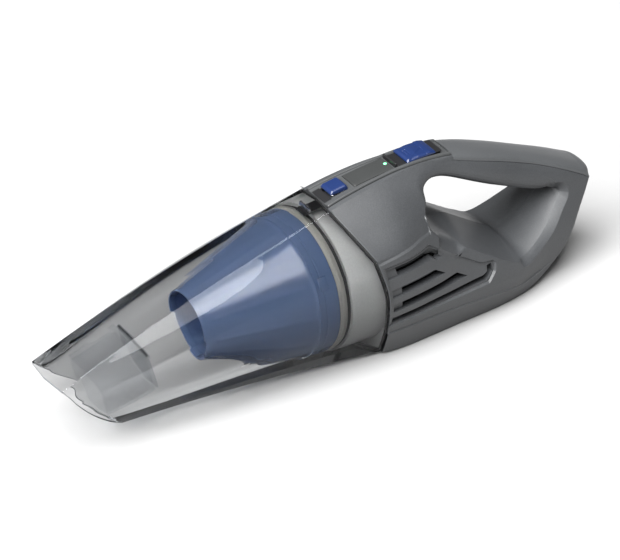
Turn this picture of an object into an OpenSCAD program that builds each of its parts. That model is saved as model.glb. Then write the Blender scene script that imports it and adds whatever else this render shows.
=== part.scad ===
// Cordless wet and dry handheld vacuum with a clear dust bowl, a blue filter cone and a loop handle.
// X runs along the body from the nozzle to the handle, Y across it and Z up from the flat base.

/* [Body] */
// distance from the top of the bowl joint forward to the nozzle lip, mm
nose_len = 209; // [190:1:225]
// distance from the same joint back to the end of the handle, mm
tail_len = 215; // [205:1:225]
// width of the body at its widest, behind the bowl joint, mm
body_w = 106; // [98:1:114]
// height of the top of the bowl joint above the base, mm
joint_h = 117; // [112:1:122]
// wall thickness of the two housing halves, mm
shell = 2.4; // [2:0.1:3]

/* [Dust bowl] */
// wall thickness of the clear bowl, mm
bowl_wall = 2.2; // [1.8:0.1:2.8]
// width of the nozzle opening at its top edge, mm
mouth_w = 46; // [40:1:52]
// width of the flat roof of the bowl at the joint, mm
roof_w = 34; // [28:1:38]
// gap between the bowl and the housing, filled by the gasket, mm
joint_gap = 1.3; // [1:0.1:1.8]

/* [Filter] */
// outer radius of the blue cone at its rear rim, mm
cone_r = 44; // [40:0.5:44.5]
// outer radius of the blue cone at its front end, mm
cone_tip_r = 20; // [17:0.5:22]
// length of the blue cone, mm
cone_len = 90; // [80:1:96]
// height of the filter's centre line above the base, mm
filter_z = 56; // [55:0.5:57.5]

/* [Controls] */
// half width of the raised control strip at the bowl joint, mm
strip_half = 13.5; // [12:0.5:15]
// press travel of the bowl release button, mm
press = 1.5; // [1:0.1:1.7]
// slide travel of the power switch, mm
slide = 7; // [5:0.5:7]

/* [Drive] */
// radius of the motor can, mm
motor_r = 17; // [15:0.5:17.5]
// height of the motor's centre line above the base, mm
motor_z = 46; // [45:0.5:47]
// radius of the fan wheel, mm
fan_r = 26; // [22:0.5:27]

/* [Hidden] */
$fn = 64;

smoke = [0.45, 0.47, 0.48, 0.45];
blue = [0.15, 0.25, 0.62];
blue_clear = [0.35, 0.45, 0.75, 0.6];
grey = [0.36, 0.37, 0.39];
dark = [0.08, 0.08, 0.09];
pale = [0.75, 0.76, 0.74];
metal = [0.75, 0.76, 0.78];

shift = (nose_len - tail_len) / 2;
half = body_w / 2;
fit = 0.3;
eps = 0.1;

// ---- helpers -----------------------------------------------------------------------------------

function bez(a, b, c, t) = (1 - t) * (1 - t) * a + 2 * t * (1 - t) * b + t * t * c;
function unit(v) = v / norm(v);
function left_of(v) = [-v[1], v[0]];

// moves every corner of an anticlockwise outline inward by w, keeping the walls parallel
function inset(p, w) = let (n = len(p)) [for (i = [0:n - 1])
    let (a = left_of(unit(p[i] - p[(i + n - 1) % n])), b = left_of(unit(p[(i + 1) % n] - p[i])))
    p[i] + (a + b) * w / (1 + a * b)];

// turns the right half of a section, top centre first, into a whole ring seen from the front
function ring(h) = concat([for (i = [0:len(h) - 1]) h[i]],
    [for (i = [len(h) - 2:-1:1]) [h[i][0], -h[i][1], h[i][2]]]);

// the same ring with its walls moved inward by w across the section
function ring_in(r, w) = let (q = inset([for (p = r) [-p[1], p[2]]], w))
    [for (i = [0:len(r) - 1]) [r[i][0], -q[i][0], q[i][1]]];
function moved(r, v) = [for (p = r) p + v];
function centre(r) = [for (k = [0:2]) ([for (p = r) p[k]] * [for (p = r) 1]) / len(r)];
function flat(l) = [for (a = l) for (b = a) b];

function skin(rows, n, o, f) = [for (i = [0:rows - 2]) for (j = [0:n - 1])
    let (a = o + i * n + j, b = o + i * n + (j + 1) % n, c = a + n, d = b + n)
    each (f ? [[a, b, d], [a, d, c]] : [[a, d, b], [a, c, d]])];

// solid through a list of rings, closed by a fan of faces at each end
module solid_loft(rings) {
    n = len(rings[0]);
    m = len(rings);
    last = n * (m - 1);
    polyhedron(points = concat(flat(rings), [centre(rings[0]), centre(rings[m - 1])]),
        faces = concat(skin(m, n, 0, true),
            [for (j = [0:n - 1]) [n * m, (j + 1) % n, j]],
            [for (j = [0:n - 1]) [n * m + 1, last + j, last + (j + 1) % n]]), convexity = 6);
}

// open tube between outer rings and inner rings
module tube_loft(outer, inner) {
    n = len(outer[0]);
    m = len(outer);
    o = n * m;
    polyhedron(points = concat(flat(outer), flat(inner)),
        faces = concat(skin(m, n, 0, true), skin(m, n, o, false),
            [for (j = [0:n - 1]) let (k = (j + 1) % n) each [[j, o + j, o + k], [j, o + k, k]]],
            [for (j = [0:n - 1]) let (k = (j + 1) % n, a = (m - 1) * n)
                each [[a + j, a + k, o + a + k], [a + j, o + a + k, o + a + j]]]), convexity = 6);
}

// outline drawn in the X, Z plane and made w wide across Y
module across(w) rotate([90, 0, 0]) linear_extrude(height = w, center = true) children();

// turned part round the X axis at height z: outline points are [radius, x]
module turned(z) translate([0, 0, z]) rotate([0, 90, 0]) rotate_extrude($fn = 96) children();
module round_bar(r, x0, x1, z, y = 0) translate([x0, y, z]) rotate([0, 90, 0]) cylinder(r = r, h = x1 - x0);
module block(x0, x1, w, z0, z1) translate([x0, -w / 2, z0]) cube([x1 - x0, w, z1 - z0]);
module place() translate([shift, 0, 0]) children();

// ---- outer form ----------------------------------------------------------------------------------

// lines that run along the bowl from the mouth to the joint, top centre to bottom centre: each is a
// mouth point, a guide point and a joint point
mw = mouth_w / 2;
rw = roof_w / 2;
function mouth_pt(y, z) = let (d = 60 - z)
    [-nose_len + 0.42 * d + 0.0106 * d * d + 0.005 * y * y, y, z];
bowl_lines = [
    [mouth_pt(0, 59.5), [-109, 0, 96.5], [2, 0, joint_h]],
    [mouth_pt(mw - 2.5, 58.5), [-109, rw + 2, 94], [1.2, rw, joint_h - 1.8]],
    [mouth_pt(mw, 54), [-104, 33.5, 86.5], [8.8, 34, joint_h - 16]],
    [mouth_pt(mw + 0.6, 46), [-100, 46, 78], [16, half - 4, 87]],
    [mouth_pt(mw + 0.2, 36), [-97, 46, 48], [21.5, half, 62]],
    [mouth_pt(mw - 1, 27), [-84, 40.5, 37], [22.8, half - 1.2, 44]],
    [mouth_pt(mw - 3, 20), [-66, 34, 30], [24.8, half - 7.5, 26]],
    [mouth_pt(mw - 5, 16.5), [-65, 32, 26.5], [25.2, half - 9, 22.5]],
    [mouth_pt(mw - 9, 10.5), [-61, 23.5, 10.5], [26, 35, 2.6]],
    [mouth_pt(0, 9), [-60, 0, 8], [26, 0, 1]]];
bowl_steps = 12;
bowl_rings = [for (i = [0:bowl_steps])
    ring([for (l = bowl_lines) bez(l[0], l[1], l[2], i / bowl_steps)])];
joint_ring = bowl_rings[bowl_steps];

// height of the top centre line behind the joint
function top_z(x) = joint_h + lookup(x, [[2, 0], [15, 2.4], [30, 4.4], [45, 5.8], [61, 6.6], [75, 6.6],
    [90, 5.4], [100, 3.8], [115, -0.6], [139, -10.4], [166, -23], [190, -35], [215, -48.5]]);

// section of the housing at x: half widths and heights of the same ten lines
function section(x, e, b, s, w, l, c, d, f) = [[x, 0, top_z(x)], [x, e, top_z(x) - 2], [x, b[0], b[1]],
    [x, s[0], s[1]], [x, w[0], w[1]], [x, l[0], l[1]], [x, c[0], c[1]], [x, d[0], d[1]], [x, f[0], f[1]],
    [x, 0, f[1]]];
body_halves = [
    section(45, 14.5, [33, 103], [half - 6, 85], [half - 1.5, 60], [half - 2.5, 42], [half - 7.5, 25],
        [half - 9, 21.5], [35, 0]),
    section(68, 12, [27, 103.5], [half - 12.5, 80], [half - 5, 58], [half - 5.5, 40], [half - 8.5, 24],
        [half - 10, 20.5], [34.5, 0]),
    section(93, 12, [18.5, 108], [half - 20, 75], [half - 13, 61], [half - 8.5, 36], [half - 10, 21.5],
        [half - 11.5, 18.5], [33.5, 0]),
    section(115, 11.5, [18, 103], [half - 22, 66], [half - 13, 47.5], [half - 10, 31], [half - 11.5, 19],
        [half - 13, 16.5], [33, 0]),
    section(139, 11, [18, 94], [half - 23, 55], [half - 14, 34], [half - 13, 24], [half - 14.5, 15],
        [half - 16, 12.5], [31, -1]),
    section(166, 10.5, [17.5, 83], [half - 27, 57], [half - 21, 43], [half - 20.5, 30], [half - 22, 17],
        [half - 23, 14], [26, -4]),
    section(190, 10, [17, 74], [half - 31.5, 58], [half - 27, 42], [half - 25.5, 32], [half - 26, 24],
        [half - 27, 20], [22, -4]),
    section(tail_len + 1, 8, [14.5, 62], [half - 36, 56], [half - 35, 48], [half - 34.5, 40],
        [half - 35, 32], [half - 35.5, 28], [15, -4])];
body_rings = concat([moved(joint_ring, [joint_gap, 0, 0])], [for (h = body_halves) ring(h)]);

// rings of the space inside, held lower under the control strip
under_strip = 6;
function lowered(r, w) = let (q = ring_in(r, w), k = r[0][0] < 100 ? under_strip - w : 0)
    [for (i = [0:len(q) - 1]) (i == 0 || i == 1 || i == len(q) - 1) ? q[i] - [0, 0, k] : q[i]];
space_rings = concat([moved(lowered(body_rings[0], shell), [-12, 0, 0])],
    [for (r = body_rings) lowered(r, shell)]);

// side outline of the housing, and of the finger opening in it
crease = [[102.7, joint_h - 1.5], [146, joint_h - 19], [184, joint_h - 37.5], [204, joint_h - 49.5],
    [tail_len - 3, joint_h - 55]];
side = concat([[-10, 0], [140, 0], [150, 1.5], [160, 4.5], [169, 9], [180, 18], [190, 30.5], [199, 43],
    [207, 54.5]], [for (i = [4:-1:0]) crease[i]], [[102.7, joint_h + 20], [-10, joint_h + 20]]);
loop = [[67.5, 92], [67.3, 82], [71, 76], [134, 35.5], [140, 33.2], [147, 33.8], [166, 43.5], [181, 56],
    [186.5, 61], [185, 64.5], [170, 67.5], [132, 85], [90, 106.5], [80, 107.5], [73, 103]];
cap_side = concat([for (p = crease) p + [0.2, 0.2]], [[tail_len - 0.8, joint_h - 52.5],
    [tail_len, joint_h - 49.5], [tail_len - 1.5, joint_h - 45], [tail_len - 7, joint_h - 39],
    [150, joint_h + 20], [102.9, joint_h + 20]]);

// ---- control strip ---------------------------------------------------------------------------------

strip_t = 3;
strip_x = [3.6, 102.5];
function strip_edge(x, g) = strip_half - 2.7 * min(1, max(0, (x - 2) / 56)) + g;
function strip_path(x0, x1, up) = [for (i = [0:12]) let (x = x0 + (x1 - x0) * i / 12) [x, top_z(x) + up]];
function rev(l) = [for (i = [len(l) - 1:-1:0]) l[i]];

// slab that follows the top line from x0 to x1, between two offsets from it
module top_slab(x0, x1, low, high, w) across(w)
    polygon(concat(strip_path(x0, x1, low), rev(strip_path(x0, x1, high))));
module strip_plan(x0, x1, g, z0, z1) translate([0, 0, z0]) linear_extrude(height = z1 - z0)
    polygon([[x0, -strip_edge(x0, g)], [58, -strip_edge(58, g)], [x1, -strip_edge(x1, g)],
        [x1, strip_edge(x1, g)], [58, strip_edge(58, g)], [x0, strip_edge(x0, g)]]);

btn_x = [10, 23];
btn_w = 13.2;
btn_top = top_z(16.5) + 3;
btn_floor = top_z(16.5) - 0.5;
stem_x = 16.5;
track_x = [60, 97];
track_w = 18.6;
track_top = top_z(60) - 0.5;
knob_x = [69, 91.5];
slot_x = [knob_x[0] - slide - 0.5, knob_x[0] + 5];
led_x = 57;

module control_strip() color(grey) place() difference() {
    intersection() {
        top_slab(strip_x[0], strip_x[1], -strip_t, 0, 40);
        strip_plan(strip_x[0], strip_x[1], 0, 100, 140);
    }
    block(btn_x[0] - fit, btn_x[1] + fit, btn_w + 2 * fit, 100, 140);
    top_slab(27.5, 59.2, -1.6, 1, 16);
    block(track_x[0] - eps, track_x[1] + eps, track_w + 2 * eps, track_top - 1, 140);
    block(slot_x[0], slot_x[1], 6.8, 100, 140);
    translate([led_x, 0, 100]) cylinder(r = 1.4, h = 40);
}

module status_panel() color([0.22, 0.22, 0.24]) place() difference() {
    top_slab(27.7, 59, -1.6, -0.7, 15.6);
    translate([led_x, 0, 100]) cylinder(r = 1.4, h = 40);
}

module led_lens() color([0.2, 0.9, 0.3]) place()
    translate([led_x, 0, top_z(led_x) - strip_t]) cylinder(r = 1.3, h = strip_t - 0.5);

module slider_track() color(dark) place() difference() {
    block(track_x[0], track_x[1], track_w, track_top - 1, track_top);
    block(slot_x[0], slot_x[1], 6.8, 100, 140);
}

module power_slider() color(blue) place() {
    across(18) polygon([[knob_x[0], track_top + fit], [knob_x[1], track_top + fit],
        [knob_x[1], track_top + 1.6], [knob_x[1] - 4, track_top + 2.9], [knob_x[0] + 9, track_top + 3.4],
        [knob_x[0] + 1.5, track_top + 2.6], [knob_x[0], track_top + 1.4]]);
    block(knob_x[0] + 0.2, knob_x[0] + 4.6, 6, 113.4, track_top + 1);
    block(knob_x[0] + 0.8, knob_x[0] + 3.8, 3, 109.5, 114);
}

module switch_body() color(dark) place() difference() {
    block(54, 74.2, 15, 107.4, 113);
    block(slot_x[0] + 0.4, knob_x[0] + 4.2, 3.6, 109, 120);
}

module control_board() color([0.1, 0.35, 0.2]) place() {
    block(33, 53.5, 20, 106, 107.6);
    block(47, 52, 8, 107.6, 110.5);
    block(36, 42, 6, 107.6, 109.4);
}

module release_button() color(blue) place() {
    difference() {
        across(btn_w) polygon([[btn_x[0], btn_floor], [btn_x[1], btn_floor], [btn_x[1], btn_top - 0.6],
            [btn_x[1] - 1.2, btn_top + 0.4], [btn_x[0] + 1.4, btn_top - 0.8], [btn_x[0], btn_top - 2.4]]);
        translate([stem_x, 0, btn_floor - 1]) cylinder(r = 4.2, h = 1.6);
    }
    translate([stem_x, 0, latch_top + 1]) cylinder(r = 2, h = btn_floor - latch_top);
    translate([stem_x, 0, latch_top + 0.25]) cylinder(r = 0.8, h = 1);
}

spring_low = top_z(stem_x) - under_strip + 1.1;
wire = 0.35;
coils = 4;
module button_spring() color(metal) place() translate([stem_x, 0, spring_low + wire]) {
    pitch = (btn_floor + 0.6 - spring_low - 2 * wire) / (coils - 1);
    for (i = [0:coils - 1]) translate([0, 0, i * pitch]) rotate_extrude() translate([3.1, 0])
        circle(r = wire, $fn = 24);
    for (i = [0:coils - 2]) rotate([0, 0, 180 * i]) translate([2.9, -0.3, i * pitch])
        cube([0.4, 0.6, pitch]);
}

latch_top = 109.4;
pivot = [25.2, 107];
module latch_lever() color(dark) place() difference() {
    across(9) polygon([[-9.8, 107.4], [14, 106.8], [22, 105], [27.6, 105], [27.6, latch_top - 0.9],
        [26, latch_top], [-6.6, latch_top], [-7.6, 110], [-8.6, 110], [-9.8, 108.6]]);
    translate([pivot[0], 0, pivot[1]]) rotate([90, 0, 0]) cylinder(r = 1.3, h = 20, center = true);
}

module latch_pin() color(metal) place()
    translate([pivot[0], 0, pivot[1]]) rotate([90, 0, 0]) cylinder(r = 1.25, h = 14, center = true);

// ---- dust bowl ----------------------------------------------------------------------------------------

module dust_bowl() color(smoke) place()
    tube_loft(bowl_rings, [for (r = bowl_rings) ring_in(r, bowl_wall)]);

// flat steel plate let into the roof, that the latch holds
module latch_strike() color(metal) place() block(-7, -5.6, 12, 110.5, joint_h - 2.6);

duct_tilt = 12;
duct_at = [-176, 37];
duct_len = 36;
module on_duct() translate([duct_at[0], 0, duct_at[1]]) rotate([0, -duct_tilt, 0]) children();
module inlet_duct() color([0.6, 0.62, 0.63, 0.4]) place() on_duct() difference() {
    union() {
        block(0, duct_len, 34, -11, 11);
        block(duct_len - 4, duct_len, 34, 11, 13.5);
    }
    block(-1, duct_len + 1, 31, -9.5, 9.5);
    block(duct_len - 3.6, duct_len + 1, 26, 10.2, 20);
}

module flap_pin() color(metal) place() on_duct()
    translate([duct_len + 2.1, 0, 12]) rotate([90, 0, 0]) cylinder(r = 0.9, h = 33, center = true);

module inlet_flap() color(dark) place() on_duct() difference() {
    union() {
        block(duct_len + 1.4, duct_len + 2.8, 32.5, -10.6, 12);
        translate([duct_len + 2.1, 0, 12]) rotate([90, 0, 0]) cylinder(r = 1.7, h = 32.5, center = true);
    }
    translate([duct_len + 2.1, 0, 12]) rotate([90, 0, 0]) cylinder(r = 0.95, h = 40, center = true);
}

// ---- filter ---------------------------------------------------------------------------------------------

rim_x = -10;
tip_x = rim_x - cone_len;
module filter_cup() color(blue_clear) place() {
    turned(filter_z) polygon([[cone_tip_r - 1.6, tip_x], [cone_tip_r, tip_x], [cone_tip_r + 0.6, tip_x + 4],
        [cone_r - 2, rim_x - 16], [cone_r, rim_x - 15], [cone_r, rim_x], [cone_r - 1.6, rim_x],
        [cone_r - 1.6, rim_x - 13.6], [cone_r - 3.8, rim_x - 15], [cone_tip_r - 1, tip_x + 4]]);
    for (a = [30, 150, 270]) translate([rim_x - 9, 0, filter_z]) rotate([a, 0, 0])
        translate([0, cone_r - 0.4, 0]) translate([-3, 0, -4]) cube([6, 1.9, 8]);
}

module filter_flange() color(pale) place() turned(filter_z)
    polygon([[37, rim_x - 6], [cone_r - 1.8, rim_x - 6], [cone_r - 1.8, rim_x], [cone_r, rim_x + 0.2],
        [cone_r, -5.4], [cone_r - 1, -4], [37, -4]]);

module filter_seal() color(dark) place() turned(filter_z)
    polygon([[38.5, -4], [42.8, -4], [42.8, -2.2], [41.8, -1.2], [39.5, -1.2], [38.5, -2.2]]);

cage_front = -84;
module filter_cage() color(dark) place() difference() {
    turned(filter_z) polygon([[0, cage_front], [15, cage_front], [34.5, rim_x - 5], [36.8, rim_x - 5],
        [36.8, -4.5], [35, -4.5], [35, rim_x - 3], [32.8, rim_x - 3], [13.6, cage_front + 1.8],
        [0, cage_front + 1.8]]);
    for (a = [0:45:135]) translate([0, 0, filter_z]) rotate([a, 0, 0]) {
        block(-77, -53, 6, -50, 50);
        block(-49, -23, 10, -50, 50);
    }
}

function star(n, a, b) = [for (i = [0:2 * n - 1]) let (t = 180 * i / n, r = i % 2 == 0 ? a : b)
    [r * cos(t), r * sin(t)]];
module filter_element() color([0.92, 0.92, 0.9]) place() {
    translate([-80, 0, filter_z]) rotate([0, 90, 0]) linear_extrude(height = 72.2) difference() {
        polygon(star(20, 12.4, 9.4));
        circle(r = 6.5);
    }
    turned(filter_z) polygon([[6.5, -8], [34.5, -8], [34.5, -6], [6.5, -6]]);
}

// ---- joint ------------------------------------------------------------------------------------------------

plate_x = [28, 31];
seat_r = 45.5;
plate_outline = inset([for (p = ring(body_halves[0])) [-p[1], p[2]]], shell + 2.2);
module bulkhead() color(pale) place() {
    difference() {
        union() {
            intersection() {
                translate([plate_x[0], 0, 0]) rotate([90, 0, 90])
                    linear_extrude(height = plate_x[1] - plate_x[0]) polygon(plate_outline);
                block(0, 60, 120, 3.4, top_z(28) - under_strip - 4.8);
            }
            turned(filter_z) polygon([[37.5, -1.2], [seat_r, -1.2], [seat_r, plate_x[0] + 1],
                [seat_r - 3, plate_x[0] + 1], [seat_r - 3, 1.8], [37.5, 1.8]]);
        }
        round_bar(25, plate_x[0] - 1, plate_x[1] + 1, filter_z);
    }
    for (a = [0, 60, 120]) translate([plate_x[0] + 0.5, 0, filter_z]) rotate([a, 0, 0])
        translate([0, -25.5, -1.2]) cube([2, 51, 2.4]);
    turned(filter_z) polygon([[0, plate_x[0] + 0.5], [7, plate_x[0] + 0.5], [7, plate_x[1] - 0.5],
        [0, plate_x[1] - 0.5]]);
    for (s = [-1, 1]) translate([22, s * 6 - 1, 104.3]) difference() {
        cube([plate_x[0] - 21.9, 2, 5]);
        translate([pivot[0] - 22, -1, pivot[1] - 104.3]) rotate([-90, 0, 0]) cylinder(r = 1.25, h = 4);
    }
}

// soft ring pressed between the bowl and the housing, set back from the outer skin
module seam_gasket() color(dark) place() {
    a = moved(ring_in(joint_ring, 0.6), [fit, 0, 0]);
    b = moved(ring_in(joint_ring, 0.6), [joint_gap - 0.45, 0, 0]);
    c = moved(ring_in(joint_ring, shell), [fit, 0, 0]);
    d = moved(ring_in(joint_ring, shell), [joint_gap - 0.45, 0, 0]);
    tube_loft([a, b], [c, d]);
}

// ---- housing ------------------------------------------------------------------------------------------------

// screws run across Y: [x, z]
screw_at = [[124, 12], [157, 22], [196, 52], [160, 80], [116, 102]];
module screw_bars(r) for (p = screw_at) translate([p[0], 0, p[1]]) rotate([90, 0, 0])
    cylinder(r = r, h = 120, center = true, $fn = 32);

// air slots in each side: outlines in X, Z
vents = [[[25, 70.5], [62, 70.5], [68, 66], [76, 66], [63, 77.5], [25, 77.5]],
    [[28.5, 55.5], [72, 55.5], [63.5, 61.5], [28.5, 61.5]],
    [[30, 43.5], [92, 43.5], [84, 49.5], [30, 49.5]],
    [[30, 33.5], [108, 33.5], [113, 38], [113, 44], [109.5, 44], [109.5, 39], [106.5, 37.2], [30, 37.2]]];

module outside() intersection() {
    solid_loft(body_rings);
    across(130) difference() {
        polygon(side);
        polygon(loop);
    }
}

module space() intersection() {
    solid_loft(space_rings);
    across(130) difference() {
        polygon(inset(concat([[-20, 0]], [for (i = [1:8]) side[i]], [for (i = [9:len(side) - 1])
            side[i] + [0, i < 14 ? 12 : 0]]), shell));
        polygon(inset(loop, -shell));
    }
}

module half_shell(s) difference() {
    outside();
    difference() {
        space();
        screw_bars(4);
    }
    translate([-50, s > 0 ? -99.95 : -0.05, -10]) cube([320, 100, 180]);
    intersection() {
        top_slab(1, strip_x[1] + 0.3, -strip_t - 0.15, 8, 40);
        strip_plan(1, strip_x[1] + 0.3, 0.2, 100, 140);
    }
    translate([stem_x, 0, 100]) cylinder(r = 2.3, h = 30);
    translate([stem_x, 0, spring_low]) cylinder(r = 4.3, h = 30);
    block(slot_x[0] - 0.1, slot_x[1] + 0.1, 7, 100, 140);
    translate([led_x, 0, 100]) cylinder(r = 1.4, h = 40);
    for (v = vents) translate([0, s * 45, 0]) across(34) polygon(v);
    screw_bars(1.6);
    for (p = screw_at) translate([p[0], 0, p[1]]) rotate([-90, 0, 0])
        translate([0, 0, screw_head_y]) cylinder(r = 3.2, h = 60, $fn = 32);
    socket_hole();
}

screw_head_y = 10;
module housing_left() color(grey) place() half_shell(1);
module housing_right() color(grey) place() half_shell(-1);

module housing_screws() color(metal) place() for (p = screw_at)
    translate([p[0], 0, p[1]]) rotate([-90, 0, 0]) {
        translate([0, 0, -9]) cylinder(r = 1.5, h = 9 + screw_head_y + 1, $fn = 32);
        translate([0, 0, screw_head_y]) difference() {
            cylinder(r = 2.9, h = 2, $fn = 32);
            translate([-2, -0.4, 1.2]) cube([4, 0.8, 2]);
        }
    }

module grip_cover() color(grey) place() difference() {
    intersection() {
        solid_loft(body_rings);
        across(130) polygon(cap_side);
    }
    intersection() {
        solid_loft(space_rings);
        across(130) polygon([[105, 100], [tail_len - 3, 40], [tail_len - 3, joint_h + 20],
            [105, joint_h + 20]]);
    }
}

module exhaust_foam(s) translate([0, s * 33, 0]) across(3)
    polygon([[34, 31], [108, 31], [104, 46], [74, 64], [62, 76], [34, 76]]);
module exhaust_foam_left() color(dark) place() exhaust_foam(1);
module exhaust_foam_right() color(dark) place() exhaust_foam(-1);

// ---- drive ----------------------------------------------------------------------------------------------------

fan_x = [36, 43];
can_x = [47, 82];
module fan_shroud() color(pale) place() turned(motor_z)
    polygon([[13, plate_x[1] + 0.2], [fan_r + 3.4, plate_x[1] + 0.2], [fan_r + 3.4, 45.5], [fan_r + 1.8, 45.5],
        [fan_r + 1.8, plate_x[1] + 1.8], [13, plate_x[1] + 1.8]]);

module impeller() color([0.2, 0.2, 0.22]) place() difference() {
    union() {
        turned(motor_z) polygon([[0, fan_x[1] - 1.2], [fan_r, fan_x[1] - 1.2], [fan_r, fan_x[1]],
            [0, fan_x[1]]]);
        turned(motor_z) polygon([[0, fan_x[0]], [5, fan_x[0]], [5, fan_x[1]], [0, fan_x[1]]]);
        for (i = [0:8]) translate([fan_x[0] + 0.8, 0, motor_z]) rotate([i * 40, 0, 0])
            translate([0, 4.5, -0.7]) rotate([20, 0, 0]) cube([fan_x[1] - fan_x[0] - 1.4, fan_r - 7, 1.2]);
    }
    round_bar(1.5, fan_x[0] - 1, fan_x[1] + 1, motor_z);
}

module motor_shaft() color(metal) place() round_bar(1.5, fan_x[0] - 0.6, can_x[1] + 3, motor_z);

module motor_can() color([0.7, 0.71, 0.73]) place() difference() {
    union() {
        round_bar(motor_r, can_x[0], can_x[1] - 6, motor_z);
        round_bar(6, can_x[0] - 1.5, can_x[0] + 1, motor_z);
    }
    round_bar(1.56, can_x[0] - 3, can_x[1], motor_z);
    for (a = [0:60:300]) translate([0, 0, motor_z]) rotate([a, 0, 0])
        translate([can_x[0] - 1, 11.5, 0]) rotate([0, 90, 0]) cylinder(r = 2, h = 3);
}

module motor_endcap() color(dark) place() difference() {
    union() {
        round_bar(motor_r - 0.4, can_x[1] - 6, can_x[1], motor_z);
        round_bar(5, can_x[1] - 1, can_x[1] + 2, motor_z);
        for (s = [-1, 1]) translate([can_x[1] - 1, s * 11 - 2.5, motor_z - 0.4]) cube([6, 5, 0.8]);
    }
    round_bar(1.56, can_x[0], can_x[1] + 3, motor_z);
}

// rubber ring and bracket that hold the can to the fan housing
module motor_mount() color([0.15, 0.15, 0.16]) place() difference() {
    turned(motor_z) polygon([[motor_r, 45.5], [fan_r + 3.4, 45.5], [fan_r + 3.4, 47.5], [motor_r + 3, 47.5],
        [motor_r + 3, 58], [motor_r, 58]]);
    for (a = [0:45:315]) translate([0, 0, motor_z]) rotate([a, 0, 0])
        translate([45, fan_r - 2.4, 0]) rotate([0, 90, 0]) cylinder(r = 1.6, h = 4);
}

cell_r = 9.1;
cell_y = [-19, 0, 19];
cell_z = 13.2;
module battery_cells() color([0.2, 0.45, 0.35]) place() for (y = cell_y) {
    round_bar(cell_r, 50, 114, cell_z, y);
    round_bar(3, 113.5, 115, cell_z, y);
}

module cell_holder() color(dark) place() difference() {
    union() {
        block(52, 58, 58, 2.6, 12);
        block(104, 110, 58, 2.6, 12);
        block(58, 104, 6, 2.6, 3.9);
    }
    for (y = cell_y) round_bar(cell_r + 0.05, 40, 120, cell_z, y);
}

socket_at = [178, 20];
module socket_hole() translate([socket_at[0], 0, socket_at[1]]) rotate([0, 130, 0])
    translate([0, 0, -6]) cylinder(r = 4.1, h = 30, $fn = 48);
module charge_socket() color(dark) place() translate([socket_at[0], 0, socket_at[1]]) rotate([0, 130, 0])
    difference() {
        translate([0, 0, -9]) cylinder(r = 4, h = 9.5, $fn = 48);
        translate([0, 0, -7]) cylinder(r = 2.8, h = 12, $fn = 48);
    }

dust_bowl();
inlet_duct();
inlet_flap();
flap_pin();
latch_strike();
filter_cup();
filter_flange();
filter_seal();
filter_cage();
filter_element();
bulkhead();
seam_gasket();
housing_left();
housing_right();
control_strip();
grip_cover();
status_panel();
led_lens();
release_button();
button_spring();
latch_lever();
latch_pin();
slider_track();
power_slider();
switch_body();
control_board();
fan_shroud();
impeller();
motor_shaft();
motor_can();
motor_endcap();
motor_mount();
battery_cells();
cell_holder();
exhaust_foam_left();
exhaust_foam_right();
charge_socket();
housing_screws();
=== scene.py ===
# Looks for the handheld vacuum: smoke-clear bowl, blue filter cone, dark grey housing with a loop handle.
# Shapes are worked out in millimetres in body coordinates (x = 0 at the top of the bowl joint) and
# written in metres in the shared frame.
import bpy
import math
import numpy as np
from mathutils import Vector, Matrix
from mathutils.bvhtree import BVHTree
from mathutils.geometry import delaunay_2d_cdt


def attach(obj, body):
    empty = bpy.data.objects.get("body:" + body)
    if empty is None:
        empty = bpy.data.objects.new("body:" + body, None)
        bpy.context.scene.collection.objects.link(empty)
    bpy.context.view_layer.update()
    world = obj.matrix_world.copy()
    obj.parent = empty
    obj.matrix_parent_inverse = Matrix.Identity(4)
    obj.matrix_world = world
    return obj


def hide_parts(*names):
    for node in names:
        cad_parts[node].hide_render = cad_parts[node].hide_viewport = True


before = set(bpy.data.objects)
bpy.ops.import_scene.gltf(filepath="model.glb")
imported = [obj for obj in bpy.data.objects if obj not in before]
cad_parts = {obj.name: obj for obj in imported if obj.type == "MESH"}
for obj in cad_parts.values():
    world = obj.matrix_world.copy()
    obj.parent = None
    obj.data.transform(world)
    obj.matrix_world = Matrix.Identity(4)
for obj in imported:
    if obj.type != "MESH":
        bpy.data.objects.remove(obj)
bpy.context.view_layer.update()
MM = 0.001
SHIFT = -3.0


def row(p):
    return ((p[0] + SHIFT) * MM, p[1] * MM, p[2] * MM)


# ---- materials ---------------------------------------------------------------------------------

def new_mat(name):
    m = bpy.data.materials.new(name)
    m.use_nodes = True
    nt = m.node_tree
    nt.nodes.clear()
    out = nt.nodes.new("ShaderNodeOutputMaterial")
    return m, nt, out


def link(nt, a, b):
    nt.links.new(a, b)


def noise(nt, scale, detail=3.0, rough=0.55, stretch=(1, 1, 1)):
    geo = nt.nodes.new("ShaderNodeNewGeometry")
    mp = nt.nodes.new("ShaderNodeMapping")
    mp.inputs["Scale"].default_value = stretch
    n = nt.nodes.new("ShaderNodeTexNoise")
    n.inputs["Scale"].default_value = scale
    n.inputs["Detail"].default_value = detail
    n.inputs["Roughness"].default_value = rough
    link(nt, geo.outputs["Position"], mp.inputs["Vector"])
    link(nt, mp.outputs["Vector"], n.inputs["Vector"])
    return n


def ramp(nt, src, stops):
    r = nt.nodes.new("ShaderNodeValToRGB")
    els = r.color_ramp.elements
    els[0].position, els[0].color = stops[0][0], (*stops[0][1], 1)
    els[1].position, els[1].color = stops[-1][0], (*stops[-1][1], 1)
    for pos, col in stops[1:-1]:
        e = els.new(pos)
        e.color = (*col, 1)
    link(nt, src, r.inputs["Fac"])
    return r


def ranged(nt, src, lo, hi):
    m = nt.nodes.new("ShaderNodeMapRange")
    m.inputs["To Min"].default_value = lo
    m.inputs["To Max"].default_value = hi
    link(nt, src, m.inputs["Value"])
    return m.outputs["Result"]


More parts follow.
